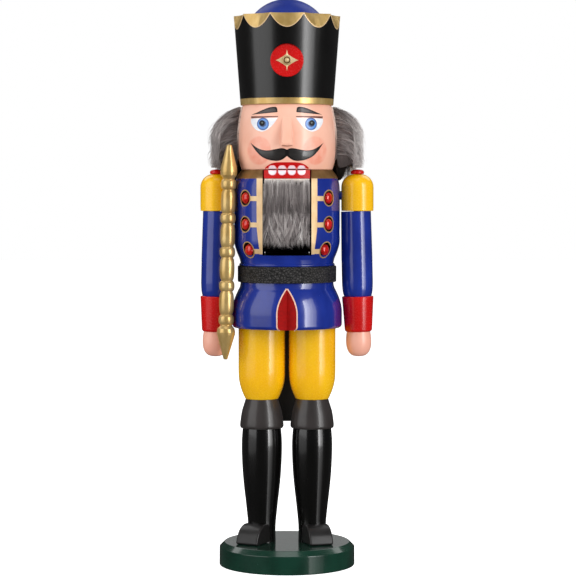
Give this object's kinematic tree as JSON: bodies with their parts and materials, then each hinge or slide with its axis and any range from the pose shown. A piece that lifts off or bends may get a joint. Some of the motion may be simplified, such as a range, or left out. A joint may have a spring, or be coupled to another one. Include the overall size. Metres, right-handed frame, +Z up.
{
  "type": "nutcracker figure",
  "caption": "Standing nutcracker king in turned painted wood: round base, fur hair and beard, crown, sceptre, and a lever whose front end is the jaw.",
  "frame": {"origin": "centre of the base's underside", "axes": "+Z up through the middle of the body, -Y the way the figure faces, +X towards the figure's own left arm"},
  "size_m": [0.1194, 0.1003, 0.39],
  "materials": {
    "green_lacquer": "gloss lacquer, dark green",
    "black_lacquer": "gloss lacquer, black",
    "black_satin": "satin lacquer, black",
    "yellow_lacquer": "gloss lacquer, golden yellow",
    "blue_lacquer": "gloss lacquer, deep blue",
    "red_lacquer": "gloss lacquer, bright red",
    "skin_lacquer": "satin lacquer, pale skin tone",
    "gold_lacquer": "satin gold bronze paint",
    "bare_wood": "sanded beech",
    "belt_leather": "grained black leather",
    "grey_fur": "long grey fur",
    "red_jewel": "clear red domed jewel",
    "star_brass": "pressed and polished brass",
    "pin_steel": "ground steel"
  },
  "bodies": {
    "figure": {"base": "green_lacquer", "base_dowels": "bare_wood", "boot_left": "black_lacquer", "boot_right": "black_lacquer", "toe_left": "black_lacquer", "toe_right": "black_lacquer", "knee_dowels": "bare_wood", "trouser_left": "yellow_lacquer", "trouser_right": "yellow_lacquer", "hip_dowels": "bare_wood", "torso": "blue_lacquer", "belt": "belt_leather", "buttons_left": "red_jewel", "buttons_right": "red_jewel", "pivot_pin": "pin_steel", "pin_plugs": "blue_lacquer", "neck_dowels": "bare_wood", "head": "skin_lacquer", "nose": "skin_lacquer", "hair": "grey_fur", "crown_dowel": "bare_wood", "crown": "black_lacquer", "crown_dome": "blue_lacquer", "crown_badge": "red_lacquer", "crown_star": "star_brass", "star_pin": "star_brass", "shoulder_dowels": "bare_wood", "epaulette_left": "yellow_lacquer", "epaulette_right": "yellow_lacquer", "shoulder_cap_left": "red_lacquer", "shoulder_cap_right": "red_lacquer", "arm_dowels": "bare_wood", "sleeve_left": "blue_lacquer", "sleeve_right": "blue_lacquer", "cuff_left": "red_lacquer", "cuff_right": "red_lacquer", "wrist_dowels": "bare_wood", "hand_left": "skin_lacquer", "hand_right": "skin_lacquer", "sceptre": "gold_lacquer", "sceptre_peg": "bare_wood"},
    "lever": {"lever": "black_satin", "beard": "grey_fur"}
  },
  "joints": [
    {"name": "lever_pivot", "type": "hinge", "parent": "figure", "child": "lever", "pos_m": [0, 0, 0.23], "axis": [1, 0, 0], "range_deg": [0, 30], "deforming": ["beard"]}
  ]
}
